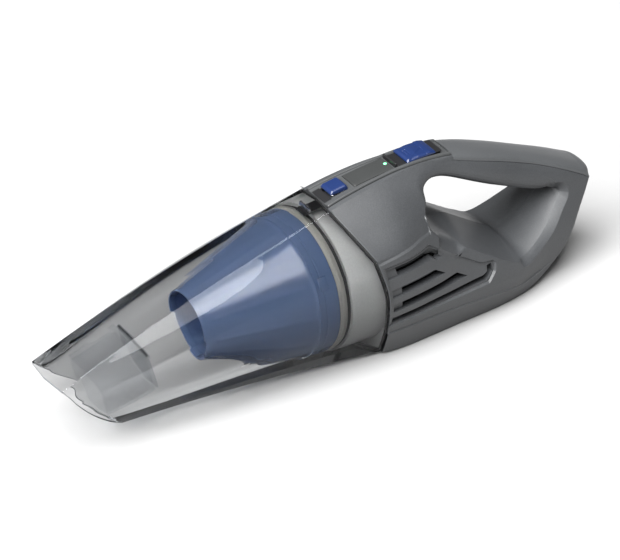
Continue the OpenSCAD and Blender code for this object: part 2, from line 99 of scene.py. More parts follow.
def plastic(name, rgb, rough=0.4, grain=900, bump=0.12, vary=0.12, metallic=0.0, coat=0.0,
            coat_rough=0.1, spec=0.5):
    m, nt, out = new_mat(name)
    b = nt.nodes.new("ShaderNodeBsdfPrincipled")
    fine = noise(nt, grain, 2.0, 0.6)
    broad = noise(nt, 18, 3.0)
    mix = nt.nodes.new("ShaderNodeMix")
    mix.data_type = "FLOAT"
    mix.inputs["Factor"].default_value = 0.35
    link(nt, fine.outputs["Fac"], mix.inputs["A"])
    link(nt, broad.outputs["Fac"], mix.inputs["B"])
    lo = tuple(c * (1 - vary) for c in rgb)
    hi = tuple(min(1, c * (1 + vary)) for c in rgb)
    col = ramp(nt, mix.outputs["Result"], [(0.3, lo), (0.7, hi)])
    link(nt, col.outputs["Color"], b.inputs["Base Color"])
    link(nt, ranged(nt, broad.outputs["Fac"], rough * 0.85, min(1, rough * 1.15)), b.inputs["Roughness"])
    b.inputs["Metallic"].default_value = metallic
    b.inputs["Specular IOR Level"].default_value = spec
    b.inputs["Coat Weight"].default_value = coat
    b.inputs["Coat Roughness"].default_value = coat_rough
    bp = nt.nodes.new("ShaderNodeBump")
    bp.inputs["Strength"].default_value = bump
    bp.inputs["Distance"].default_value = 0.0002
    link(nt, fine.outputs["Fac"], bp.inputs["Height"])
    link(nt, bp.outputs["Normal"], b.inputs["Normal"])
    link(nt, b.outputs["BSDF"], out.inputs["Surface"])
    return m


def clear(name, tint, rough=0.03, face=0.035, edge=0.6, gloss=1.0, haze=0.0, haze_rgb=(0.5, 0.5, 0.5)):
    m, nt, out = new_mat(name)
    n = noise(nt, 25, 2.0)
    col = ramp(nt, n.outputs["Fac"], [(0.3, tuple(c * 0.97 for c in tint)), (0.7, tint)])
    tr = nt.nodes.new("ShaderNodeBsdfTransparent")
    link(nt, col.outputs["Color"], tr.inputs["Color"])
    gl = nt.nodes.new("ShaderNodeBsdfGlossy")
    gl.inputs["Color"].default_value = (gloss, gloss, gloss, 1)
    link(nt, ranged(nt, n.outputs["Fac"], rough * 0.7, rough * 1.4), gl.inputs["Roughness"])
    lw = nt.nodes.new("ShaderNodeLayerWeight")
    lw.inputs["Blend"].default_value = 0.5
    pw = nt.nodes.new("ShaderNodeMath")
    pw.operation = "POWER"
    link(nt, lw.outputs["Facing"], pw.inputs[0])
    pw.inputs[1].default_value = 4.0
    fr = nt.nodes.new("ShaderNodeMath")
    fr.operation = "MULTIPLY_ADD"
    link(nt, pw.outputs[0], fr.inputs[0])
    fr.inputs[1].default_value = edge
    fr.inputs[2].default_value = face
    first = tr
    if haze > 0:
        df = nt.nodes.new("ShaderNodeBsdfDiffuse")
        df.inputs["Color"].default_value = (*haze_rgb, 1)
        hz = nt.nodes.new("ShaderNodeMixShader")
        hz.inputs["Fac"].default_value = haze
        link(nt, tr.outputs["BSDF"], hz.inputs[1])
        link(nt, df.outputs["BSDF"], hz.inputs[2])
        first = hz
    mx = nt.nodes.new("ShaderNodeMixShader")
    link(nt, fr.outputs[0], mx.inputs["Fac"])
    link(nt, first.outputs[0], mx.inputs[1])
    link(nt, gl.outputs["BSDF"], mx.inputs[2])
    link(nt, mx.outputs["Shader"], out.inputs["Surface"])
    return m


def glassy(name, tint, rough, ior):
    m, nt, out = new_mat(name)
    n = noise(nt, 25, 2.0)
    col = ramp(nt, n.outputs["Fac"], [(0.3, tuple(c * 0.97 for c in tint)), (0.7, tint)])
    g = nt.nodes.new("ShaderNodeBsdfGlass")
    g.inputs["IOR"].default_value = ior
    link(nt, ranged(nt, n.outputs["Fac"], rough * 0.7, rough * 1.4), g.inputs["Roughness"])
    link(nt, col.outputs["Color"], g.inputs["Color"])
    link(nt, g.outputs["BSDF"], out.inputs["Surface"])
    return m


BODY = plastic("body_grey_grained", (0.027, 0.0285, 0.0305), rough=0.42, grain=1300, bump=0.35, vary=0.3)
# darker copy of the body grey for the recessed slot blades: painted shade
BLADE_PAINTED_SHADE = plastic("slot_blade_grey_painted_shade", (0.014, 0.015, 0.016), rough=0.45, grain=1300, bump=0.2, vary=0.3)
CAP = plastic("cap_grey_satin", (0.04, 0.042, 0.044), rough=0.38, grain=1300, bump=0.12, vary=0.15)
STRIP = plastic("strip_grey_satin", (0.034, 0.0355, 0.0365), rough=0.3, grain=1200, bump=0.1, vary=0.12)
PANEL = plastic("panel_dark_smooth", (0.019, 0.02, 0.02), rough=0.3, grain=1200, bump=0.05)
BLACK = plastic("black_plastic", (0.005, 0.005, 0.0055), rough=0.38, grain=900, bump=0.1)
# near-black sheet placed deep in the slot gaps: painted shadow
SLOT_PAINTED_SHADOW = plastic("slot_painted_shadow_black", (0.0012, 0.0012, 0.0012), rough=0.8, grain=900, bump=0.1, spec=0.1)
RUBBER = plastic("seal_rubber", (0.005, 0.005, 0.005), rough=0.7, grain=700, bump=0.3)
PALE = plastic("pale_plastic", (0.3, 0.3, 0.295), rough=0.45, grain=800, bump=0.08, vary=0.06)
FLANGE = plastic("flange_grey", (0.2, 0.195, 0.18), rough=0.4, grain=800, bump=0.08, vary=0.08)
BUTTON = plastic("button_blue_gloss", (0.003, 0.0105, 0.048), rough=0.34, grain=900, bump=0.04,
                 vary=0.1, coat=0.05)
STEEL = plastic("bright_steel", (0.62, 0.62, 0.63), rough=0.25, grain=600, bump=0.05, metallic=1.0)
BOARD = plastic("board_green", (0.01, 0.05, 0.02), rough=0.4, grain=300, bump=0.1, vary=0.3)
CELLS = plastic("cell_wrap_green", (0.012, 0.06, 0.045), rough=0.25, grain=300, bump=0.03, coat=0.5)
FOAM = plastic("foam_black", (0.005, 0.005, 0.005), rough=0.9, grain=450, bump=1.0, vary=0.5)
PAPER = plastic("filter_paper", (0.3, 0.295, 0.28), rough=0.9, grain=500, bump=0.4, vary=0.08)
FAN = plastic("fan_plastic", (0.01, 0.01, 0.011), rough=0.4, grain=900, bump=0.08)
SMOKE = glassy("smoke_clear", (0.67, 0.675, 0.68), rough=0.02, ior=1.24)
RIM = plastic("bowl_rim_smoke", (0.10, 0.105, 0.11), rough=0.15, grain=900, bump=0.03, coat=0.5)
DUCT = clear("duct_clear", (0.955, 0.96, 0.965), rough=0.1, face=0.01, edge=0.2)
FLAP = clear("flap_soft_clear", (0.85, 0.86, 0.87), rough=0.3, face=0.01, edge=0.2)
CONE = clear("cone_blue_clear", (0.2, 0.3, 0.6), rough=0.2, haze=0.62, haze_rgb=(0.085, 0.125, 0.22))


def led_material():
    m, nt, out = new_mat("led_green_lit")
    b = nt.nodes.new("ShaderNodeBsdfPrincipled")
    n = noise(nt, 2000, 1.0)
    col = ramp(nt, n.outputs["Fac"], [(0.3, (0.1, 0.8, 0.25)), (0.7, (0.2, 1.0, 0.35))])
    link(nt, col.outputs["Color"], b.inputs["Base Color"])
    link(nt, col.outputs["Color"], b.inputs["Emission Color"])
    b.inputs["Emission Strength"].default_value = 0.5
    b.inputs["Roughness"].default_value = 0.2
    link(nt, b.outputs["BSDF"], out.inputs["Surface"])
    return m


LED = led_material()

CAD_LOOKS = {"inlet_duct": DUCT, "inlet_flap": FLAP, "flap_pin": STEEL, "latch_strike": STEEL,
             "filter_seal": RUBBER, "filter_cage": BLACK, "filter_element": PAPER, "bulkhead": PALE,
             "seam_gasket": RUBBER, "led_lens": LED, "button_spring": STEEL, "latch_lever": BLACK,
             "latch_pin": STEEL, "switch_body": BLACK, "control_board": BOARD, "fan_shroud": PALE,
             "impeller": FAN, "motor_shaft": STEEL, "motor_can": STEEL, "motor_endcap": BLACK,
             "motor_mount": RUBBER, "battery_cells": CELLS, "cell_holder": BLACK,
             "exhaust_foam_left": FOAM, "exhaust_foam_right": FOAM, "charge_socket": BLACK,
             "housing_screws": STEEL}
for node_name, mat in CAD_LOOKS.items():
    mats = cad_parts[node_name].data.materials
    if len(mats) == 0:
        mats.append(mat)
    for i in range(len(mats)):
        mats[i] = mat


# ---- mesh helpers ------------------------------------------------------------------------------

def piece(name, verts, faces, mats, body, node, face_mat=None, smooth=True, sharp=None):
    me = bpy.data.meshes.new(name)
    me.from_pydata([row(v) for v in verts], [], [tuple(f) for f in faces])
    for mt in mats:
        me.materials.append(mt)
    if face_mat is not None:
        me.polygons.foreach_set("material_index", face_mat)
    me.polygons.foreach_set("use_smooth", [smooth] * len(me.polygons))
    me.validate()
    me.update()
    ob = bpy.data.objects.new(name, me)
    bpy.context.scene.collection.objects.link(ob)
    if sharp is not None:
        me.set_sharp_from_angle(angle=math.radians(sharp))
    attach(ob, body)
    if node:
        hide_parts(node)
    return ob


class Mesh:
    """Collects points and faces of one piece."""
    def __init__(self):
        self.v, self.f, self.m = [], [], []

    def add(self, pts):
        k = len(self.v)
        self.v.extend([tuple(p) for p in pts])
        return list(range(k, k + len(pts)))

    def quads(self, a, b, closed=False, mat=0, flip=False):
        n = len(a)
        for i in range(n if closed else n - 1):
            j = (i + 1) % n
            q = (a[i], a[j], b[j], b[i])
            self.f.append(q[::-1] if flip else q)
            self.m.append(mat)

    def grid(self, rows, closed=False, mat=0, flip=False):
        ids = [self.add(r) for r in rows]
        for a, b in zip(ids[:-1], ids[1:]):
            self.quads(a, b, closed, mat, flip)
        return ids

    def fan(self, ids, mat=0, flip=False):
        c = np.mean([self.v[i] for i in ids], axis=0)
        k = self.add([c])[0]
        n = len(ids)
        for i in range(n):
            q = (ids[i], ids[(i + 1) % n], k)
            self.f.append(q[::-1] if flip else q)
            self.m.append(mat)


def hermite(xs, ys, x):
    """Smooth curve through the knots, without overshoot at flat places."""
    xs, ys, x = np.asarray(xs, float), np.asarray(ys, float), np.asarray(x, float)
    d = np.diff(ys) / np.diff(xs)
    m = np.zeros(len(xs))
    m[0], m[-1] = d[0], d[-1]
    h = np.diff(xs)
    m[1:-1] = (d[:-1] * h[1:] + d[1:] * h[:-1]) / (h[1:] + h[:-1])
    i = np.clip(np.searchsorted(xs, x) - 1, 0, len(xs) - 2)
    t = (x - xs[i]) / h[i]
    t = np.clip(t, 0, 1)
    return ((2 * t**3 - 3 * t**2 + 1) * ys[i] + (t**3 - 2 * t**2 + t) * h[i] * m[i]
            + (-2 * t**3 + 3 * t**2) * ys[i + 1] + (t**3 - t**2) * h[i] * m[i + 1])


def spline(pts, step, closed=False):
    """Points about step apart on a smooth curve through pts."""
    p = np.asarray(pts, float)
    n = len(p)
    out = []
    for i in range(n if closed else n - 1):
        if closed:
            a, b, c, d = p[(i - 1) % n], p[i], p[(i + 1) % n], p[(i + 2) % n]
        else:
            a = p[i - 1] if i else 2 * p[0] - p[1]
            b, c = p[i], p[i + 1]
            d = p[i + 2] if i + 2 < n else 2 * p[-1] - p[-2]
        k1, k2, k3 = (max(np.linalg.norm(v), 1e-6) ** 0.5 for v in (b - a, c - b, d - c))
        m1 = (c - b + k2 * ((b - a) / k1 - (c - a) / (k1 + k2)))
        m2 = (c - b + k2 * ((d - c) / k3 - (d - b) / (k2 + k3)))
        m = max(1, int(round(np.linalg.norm(c - b) / step)))
        for j in range(m):
            t = j / m
            out.append((2 * t**3 - 3 * t**2 + 1) * b + (t**3 - 2 * t**2 + t) * m1
                       + (-2 * t**3 + 3 * t**2) * c + (t**3 - t**2) * m2)
    if not closed:
        out.append(p[-1])
    return np.array(out)


def resample(p, n):
    p = np.asarray(p, float)
    s = np.concatenate([[0], np.cumsum(np.linalg.norm(np.diff(p, axis=0), axis=1))])
    t = np.linspace(0, s[-1], n)
    return np.stack([np.interp(t, s, p[:, k]) for k in range(p.shape[1])], 1)


def along(p, step):
    p = np.asarray(p, float)
    length = np.sum(np.linalg.norm(np.diff(p, axis=0), axis=1))
    return resample(p, max(2, int(round(length / step)) + 1))


# ---- outer form --------------------------------------------------------------------------------

NOSE, JOINT_H, HALF, GAP = 209.0, 117.0, 53.0, 1.3
MOUTH_HALF, ROOF_HALF = 23.0, 17.0


def mouth(y, z):
    d = 60 - z
    return (-NOSE + 0.42 * d + 0.0106 * d * d + 0.005 * y * y, y, z)


BOWL_LINES = np.array([
    [mouth(0, 59.5), (-109, 0, 96.5), (2, 0, JOINT_H)],
    [mouth(MOUTH_HALF - 2.5, 58.5), (-109, ROOF_HALF + 2, 94), (1.2, ROOF_HALF, JOINT_H - 1.8)],
    [mouth(MOUTH_HALF, 54), (-104, 33.5, 86.5), (8.8, 34, JOINT_H - 16)],
    [mouth(MOUTH_HALF + 0.6, 46), (-100, 46, 78), (16, HALF - 4, 87)],
    [mouth(MOUTH_HALF + 0.2, 36), (-97, 46, 48), (21.5, HALF, 62)],
    [mouth(MOUTH_HALF - 1, 27), (-84, 40.5, 37), (22.8, HALF - 1.2, 44)],
    [mouth(MOUTH_HALF - 3, 20), (-66, 34, 30), (24.8, HALF - 7.5, 26)],
    [mouth(MOUTH_HALF - 5, 16.5), (-65, 32, 26.5), (25.2, HALF - 9, 22.5)],
    [mouth(MOUTH_HALF - 9, 10.5), (-61, 23.5, 10.5), (26, 35, 2.6)],
    [mouth(0, 9), (-60, 0, 8), (26, 0, 1)]])
SEG_POINTS = [16, 20, 20, 26, 18, 18, 5, 22, 30]


def section_points(k, bend):
    """Fine half section from the ten line points; bend 1 rounds the side, 0 keeps the belt crease."""
    k = np.asarray(k, float)
    smooth = []
    for lo, hi in ((1, 3), (3, 6)):
        smooth.append((lo, hi, k[lo:hi + 1]))
    full = k[1:7]
    out = []
    for s in range(9):
        n = SEG_POINTS[s]
        t = np.linspace(0, 1, n, endpoint=False)[:, None]
        straight = k[s] * (1 - t) + k[s + 1] * t
        if 1 <= s <= 5:
            def catmull(q, i):
                a = q[i - 1] if i else 2 * q[0] - q[1]
                b, c = q[i], q[i + 1]
                d = q[i + 2] if i + 2 < len(q) else 2 * q[-1] - q[-2]
                return 0.5 * (2 * b + (c - a) * t + (2 * a - 5 * b + 4 * c - d) * t * t
                              + (3 * b - a - 3 * c + d) * t ** 3)
            whole = catmull(full, s - 1)
            lo, hi = (1, 3) if s < 3 else (3, 6)
            parts = catmull(k[lo:hi + 1], s - lo)
            straight = parts * (1 - bend) + whole * bend
        out.append(straight)
    out.append(k[9][None, :])
    return np.concatenate(out)


def soften(p, times=2):
    q = p.copy()
    for _ in range(times):
        q[1:-1] = 0.25 * q[:-2] + 0.5 * q[1:-1] + 0.25 * q[2:]
    return q


def bowl_half(t):
    a, b, c = BOWL_LINES[:, 0], BOWL_LINES[:, 1], BOWL_LINES[:, 2]
    k = (1 - t) ** 2 * a + 2 * t * (1 - t) * b + t * t * c
    return soften(section_points(k, 0.0), 1)


TOP = [(2, 0), (15, 2.4), (30, 4.4), (45, 5.8), (61, 6.6), (75, 6.6), (90, 5.4), (100, 3.8),
       (115, -0.6), (139, -10.4), (166, -23), (190, -35), (215, -48.5)]


def top_z(x):
    return JOINT_H + hermite([p[0] for p in TOP], [p[1] for p in TOP], x)


SECTIONS = {
    45: (14.5, (33, 103), (47, 85), (51.5, 60), (50.5, 42), (45.5, 25), (44, 21.5), (35, 0)),
    68: (12, (27, 103.5), (40.5, 80), (48, 58), (47.5, 40), (44.5, 24), (43, 20.5), (34.5, 0)),
    93: (12, (18.5, 108), (33, 75), (40, 61), (44.5, 36), (43, 21.5), (41.5, 18.5), (33.5, 0)),
    115: (11.5, (18, 103), (31, 66), (40, 47.5), (43, 31), (41.5, 19), (40, 16.5), (33, 0)),
    139: (11, (18, 94), (30, 55), (39, 34), (40, 24), (38.5, 15), (37, 12.5), (31, -1)),
    166: (10.5, (17.5, 83), (26, 57), (32, 43), (32.5, 30), (31, 17), (30, 14), (26, -4)),
    190: (10, (17, 74), (21.5, 58), (26, 42), (27.5, 32), (27, 24), (26, 20), (22, -4)),
    216: (8, (14.5, 62), (17, 56), (18, 48), (18.5, 40), (18, 32), (17.5, 28), (15, -4))}
JOINT_LINE = BOWL_LINES[:, 2] + np.array([GAP, 0, 0])


def body_lines(u):
    """Ten line points of the housing; u runs 0 at the joint to 8 at the back."""
    xs = sorted(SECTIONS)
    rows = [JOINT_LINE]
    for x in xs:
        e, *rest = SECTIONS[x]
        tz = float(top_z(x))
        rows.append(np.array([(x, 0, tz), (x, e, tz - 2)] + [(x, y, z) for y, z in rest]
                             + [(x, 0, rest[-1][1])]))
    rows = np.array(rows)
    i = min(int(u), 7)
    out = []
    for k in range(10):
        x = rows[i, k, 0] * (1 - (u - i)) + rows[i + 1, k, 0] * (u - i)
        y = float(hermite(rows[:, k, 0], rows[:, k, 1], x))
        z = float(hermite(rows[:, k, 0], rows[:, k, 2], x))
        if k < 2:
            z = float(top_z(x)) - (2 if k else 0)
        out.append((x, y, z))
    return np.array(out)


def body_half(u):
    return section_points(body_lines(u), min(1, u / 0.9))


US = np.concatenate([np.linspace(0, 1, 26)[:-1], np.linspace(1, 8, 92)])
BODY_GRID = np.array([body_half(u) for u in US])
START = sum(SEG_POINTS[:1])
END = sum(SEG_POINTS[:8])


def make_bvh():
    g = BODY_GRID[:, :END + 1]
    n, m = g.shape[:2]
    vs = [tuple(p) for p in g.reshape(-1, 3)]
    fs = []
    for i in range(n - 1):
        for j in range(m - 1):
            a = i * m + j
            fs.append((a, a + 1, a + m + 1, a + m))
    return BVHTree.FromPolygons(vs, fs)


BVH = make_bvh()


def width(x, z):
    hit = BVH.ray_cast(Vector((x, 200, z)), Vector((0, -1, 0)))
    if hit[0] is None:
        near = BVH.find_nearest(Vector((x, 25, z)))
        return float(near[0].y)
    return float(hit[0].y)


GRIP_START = (102.7, 115.5)
BLEND_FROM, BLEND_LENGTH = 84, 19.0
CREASE = [GRIP_START, (146, 98), (184, 79.5), (204, 67.5), (212, 62)]
LOOP = [(67.5, 95), (67.4, 88), (72, 81.5), (133, 36.5), (140, 33.6), (147, 33.8), (166, 43.5), (181, 56),
        (186.5, 61), (185, 64.5), (170, 67.5), (132, 85), (90, 106.5), (80, 107.5), (73, 103)]


def within(poly, pts):
    """Which of the points lie inside the closed outline."""
    p = np.atleast_2d(np.asarray(pts, float))
    a = np.asarray(poly, float)
    b = np.roll(a, -1, axis=0)
    out = np.zeros(len(p), bool)
    for (x0, z0), (x1, z1) in zip(a, b):
        if z0 == z1:
            continue
        cross = ((z0 > p[:, 1]) != (z1 > p[:, 1])) & (p[:, 0] < (x1 - x0) * (p[:, 1] - z0) / (z1 - z0) + x0)
        out ^= cross
    return out


def to_line(p, line):
    """Distance from points p to a polyline."""
    p = np.atleast_2d(p)
    best = np.full(len(p), 1e9)
    for a, b in zip(line[:-1], line[1:]):
        d = b - a
        t = np.clip(((p - a) @ d) / max(d @ d, 1e-9), 0, 1)
        q = a + t[:, None] * d
        best = np.minimum(best, np.linalg.norm(p - q, axis=1))
    return best


# ---- dust bowl ---------------------------------------------------------------------------------

def full_ring(half):
    """Whole ring from a half section: right side (-Y) first, then back over the other side."""
    h = half.copy()
    a = h * np.array([1, -1, 1])
    return np.concatenate([a, h[-2:0:-1]])


def inward(half, w):
    """Half section moved in by w along its own normals in Y and Z."""
    q = half.copy()
    d = np.gradient(half[:, 1:], axis=0)
    d[0] = (1, 0)
    d[-1] = (-1, 0)
    d /= np.maximum(np.linalg.norm(d, axis=1), 1e-9)[:, None]
    n = np.stack([d[:, 1], -d[:, 0]], 1)
    q[:, 1:] += n * w
    q[:, 1] = np.maximum(q[:, 1], 0)
    return q


def build_bowl():
    m = Mesh()
    ts = np.linspace(0, 1, 90)
    m.grid([full_ring(bowl_half(t)) for t in ts], closed=True)
    lip = 0.4
    for t, d, mt in ((0, -0.15, 1), (1, 0.15, 2)):
        rows = [full_ring(bowl_half(t))]
        for w, dx in ((lip, d), (2.2 - lip, d), (2.2, -d * 4)):
            rows.append(full_ring(inward(bowl_half(t), w)) + np.array([dx, 0, 0]))
        m.grid(rows, closed=True, mat=mt, flip=t != 0)
    return piece("dust_bowl_clear", m.v, m.f, [SMOKE, RIM, BLACK], "bowl", "dust_bowl",
                 face_mat=m.m, sharp=17)


build_bowl()


# ---- filter ------------------------------------------------------------------------------------

FILTER_Z = 56.0


def lathe(m, prof, n=128, z0=FILTER_Z, closed=True, mat=0, ripple=None):
    """Turns [radius, x] points round the X axis."""
    rows = []
    for r, x in prof:
        a = np.linspace(0, 2 * math.pi, n, endpoint=False)
        rr = np.full(n, float(r))
        if ripple:
            rr = rr + ripple(x, a)
        rows.append(np.stack([np.full(n, float(x)), rr * np.cos(a), z0 + rr * np.sin(a)], 1))
    if closed:
        rows.append(rows[0])
    return m.grid(rows, closed=True, mat=mat)


def build_filter():
    m = Mesh()
    outer = [(18.6, -100.3), (19.4, -100.4), (20.0, -99.8), (20.3, -97), (20.6, -96)]
    xs = np.linspace(-95, -27, 46)
    outer += [(20.6 + (x + 96) * (42 - 20.6) / 70.0, x) for x in xs]
    outer += [(42.2, -26), (43.0, -25.2), (43.9, -24.9), (44.0, -24.2), (44.0, -20.5), (43.6, -20.2),
              (43.6, -19.4), (44.0, -19.1), (44.0, -10.4), (43.6, -10.0), (42.6, -10.0), (42.4, -10.4)]
    inner = [(42.4, -23.6), (40.2, -25.2)] + [(19.2 + (x + 96) * (40.2 - 19.2) / 70.8, x) for x in xs[::-1]]
    inner += [(18.6, -96.5)]

    def ribs(x, a):
        k = 0.35 if -92 < x < -30 else 0
        return k * np.maximum(0, np.cos(a * 12)) ** 12
    lathe(m, outer + inner, ripple=ribs)
    for turn in (30, 150, 270):
        c, s = math.cos(math.radians(turn)), math.sin(math.radians(turn))
        rows = []
        for x, top in ((-22.2, 0.2), (-22, 1.2), (-21.4, 1.5), (-16.6, 1.5), (-16, 1.2), (-15.8, 0.2)):
            rows.append([(x, r * c - w * s, FILTER_Z + r * s + w * c)
                         for w, r in ((-4, 43.4), (-4, 43.8 + top * 0.7), (-3.4, 43.8 + top),
                                      (3.4, 43.8 + top), (4, 43.8 + top * 0.7), (4, 43.4))])
        m.grid(rows, flip=True)
    piece("filter_cone_blue", m.v, m.f, [CONE], "filter", "filter_cup", sharp=40)

    m = Mesh()
    lathe(m, [(37, -16), (42.1, -16), (42.2, -10.2), (43.6, -9.9), (44, -9.5), (44, -8.2), (43.5, -8.0),
              (43.5, -7.3), (44, -7.1), (44, -5.8), (43.6, -5.0), (43, -4.1), (37, -4)])
    piece("filter_flange_ring", m.v, m.f, [FLANGE], "filter", "filter_flange", sharp=35)


build_filter()


# ---- housing -----------------------------------------------------------------------------------

VENTS = [
    ([(23.5, 77.8), (62, 77.8), (74, 68.4)], [(24.5, 70), (63, 70), (67.5, 66.6)]),
    ([(26.5, 61.8), (63.5, 61.8)], [(27, 55), (73, 55)]),
    ([(27.5, 49.8), (83, 49.8)], [(28, 43), (92.5, 43)]),
    ([(28, 37.8), (105.5, 37.8), (109, 39.6), (109, 44)], [(28, 33), (108, 33), (113.2, 38), (113.2, 44)])]
VENT_PANEL = [(21.5, 80.5), (62, 80.5), (76, 68.6), (104, 48.6), (114.5, 46.2), (116.5, 43.5), (115.5, 37.5),
              (109.5, 30.5), (25.5, 30.5), (24.5, 55)]


def edge_line(x):
    """Shoulder crease point of the housing at x."""
    u = 0.0
    x0 = JOINT_LINE[1][0]
    xs = [x0] + sorted(SECTIONS)
    for i in range(8):
        if xs[i] <= x <= xs[i + 1]:
            u = i + (x - xs[i]) / (xs[i + 1] - xs[i])
    k = body_lines(min(u, 7.999))
    return k[1]


def smooth_step(t):
    t = np.clip(t, 0, 1)
    return t * t * (3 - 2 * t)


def top_boundary():
    """Line from the joint to the start of the grip crease, x and z."""
    pts = []
    for x in np.arange(JOINT_LINE[1][0], GRIP_START[0], 1.2):
        e = edge_line(x)
        t = smooth_step((x - BLEND_FROM) / BLEND_LENGTH)
        pts.append((x, e[2] - t * (e[2] - GRIP_START[1])))
    pts.append(GRIP_START)
    return np.array(pts)


def boundary():
    """Closed side outline of one housing half: points, rounding radius and depth."""
    parts = []
    front = BODY_GRID[0][START:END + 1][:, [0, 2]]
    parts.append((along(front, 1.2), 0.5, 0.5, 0))
    low = spline([(27.3, 2.6), (36, 0.8), (45, 0.12), (92, 0.12), (140, 0.12), (150, 1.5), (160, 4.5),
                  (169, 9), (180, 18), (190, 30.5), (199, 43), (207, 54.5), (212, 62)], 1.6)
    low[:, 1] = np.maximum(low[:, 1], 0.1)
    parts.append((low, 3.0, 3.0, 1))
    crease = spline(CREASE[::-1], 1.6)
    parts.append((crease, 0.5, 0.45, 2))
    parts.append((top_boundary()[::-1], 0.05, 0.02, 3))
    pts, rad, dep, kind = [], [], [], []
    for p, r, d, k in parts:
        for q in p[:-1]:
            pts.append(q)
            if k == 1:
                t = smooth_step((q[0] - 140) / 30.0) * (1 - smooth_step((q[1] - 40) / 18.0))
                rad.append(1.2 + 2.3 * t)
                dep.append(1.2 + 1.3 * t)
            else:
                rad.append(r)
                dep.append(d)
            kind.append(k)
    rad, dep = np.array(rad), np.array(dep)
    for _ in range(4):
        rad = 0.25 * np.roll(rad, 1) + 0.5 * rad + 0.25 * np.roll(rad, -1)
        dep = 0.25 * np.roll(dep, 1) + 0.5 * dep + 0.25 * np.roll(dep, -1)
    return np.array(pts), rad, dep, np.array(kind)


def normals(p):
    """Unit normals to the left of a closed line."""
    d = np.roll(p, -1, axis=0) - np.roll(p, 1, axis=0)
    d /= np.maximum(np.linalg.norm(d, axis=1), 1e-9)[:, None]
    return np.stack([-d[:, 1], d[:, 0]], 1)


# edges of the finger opening: rounding radius, depth, straightness of the bevel, crown of the wall
FRONT_EDGE = (1.6, 1.4, 0.0, 0.0)
GRIP_EDGE = (11.0, 10.5, 0.0, 1.0)
DECK_EDGE = (0.8, 0.7, 0.0, 8.0)
HOOP_EDGE = (5.2, 4.4, 0.95, 4.0)


def loop_line():
    """Finger opening: points, radius, depth, straightness and crown of its edge."""
    p = spline(LOOP, 1.5, closed=True)
    for _ in range(3):
        p = 0.25 * np.roll(p, 1, axis=0) + 0.5 * p + 0.25 * np.roll(p, -1, axis=0)
    rad, dep, lin, crown = [], [], [], []
    for x, z in p:
        front = x < 74 and z >= 74
        under = z > 66 and not front and not (x < 142 and z < 60)
        if front:
            edge = FRONT_EDGE
        elif under and x > 74 and x < 182:
            edge = GRIP_EDGE
        elif z < 40 + (140 - x) * 0.7 and x < 140:
            edge = DECK_EDGE
        else:
            edge = HOOP_EDGE
        r, d, li, c = edge
        rad.append(r)
        dep.append(d)
        lin.append(li)
        crown.append(c)
    arr = [np.array(a, float) for a in (rad, dep, lin, crown)]
    for k in range(4):
        for _ in range(12 if k == 3 else 3):
            arr[k] = 0.25 * np.roll(arr[k], 1) + 0.5 * arr[k] + 0.25 * np.roll(arr[k], -1)
    return (p, *arr)


PANEL_LINE = np.array(VENT_PANEL + [VENT_PANEL[0]], float)
PANEL_DEPTH, PANEL_SLOPE = 1.5, 1.1
FRAME_RISE, FRAME_SLOPE = 1.1, 1.2
LEDGE_OUT, LEDGE_SLOPE = 0.9, 1.0
FRAME_TOP = np.array([(20, 84.5), (40, 86.0), (56, 87.0), (64.5, 86.5)], float)
FRAME_LOW = np.array([(18, 23.0), (60, 22.3), (93, 20), (120, 17.2), (139, 13.8), (166, 15.5),
                      (200, 23)], float)


def faces_y(pts):
    """Half widths of the side face at the points, with the vent panel sunk."""
    pts = np.atleast_2d(np.asarray(pts, float))
    y = np.array([width(float(x), float(z)) for x, z in pts])
    sunk = within(VENT_PANEL, pts) * np.clip(to_line(pts, PANEL_LINE) / PANEL_SLOPE, 0, 1)
    up = np.clip((np.interp(pts[:, 0], *FRAME_TOP.T) - pts[:, 1]) / FRAME_SLOPE, 0, 1)
    up = np.where(pts[:, 0] > 66, 1.0, up)
    low_z = np.interp(pts[:, 0], *FRAME_LOW.T)
    up = up * smooth_step((pts[:, 0] - 16) / 4.0)
    low_step = np.clip((low_z + LEDGE_SLOPE - pts[:, 1]) / LEDGE_SLOPE, 0, 1)
    low_step = low_step * (1 - smooth_step((pts[:, 0] - 150) / 30.0))
    up = up * (pts[:, 1] < 95 - 0.42 * (pts[:, 0] - 66)) * (1 - smooth_step((pts[:, 0] - 118) / 30.0))
    return y - PANEL_DEPTH * sunk + FRAME_RISE * up + LEDGE_OUT * low_step


def close_ring(poly, n0):
    return [(n0 + i, n0 + (i + 1) % len(poly)) for i in range(len(poly))]


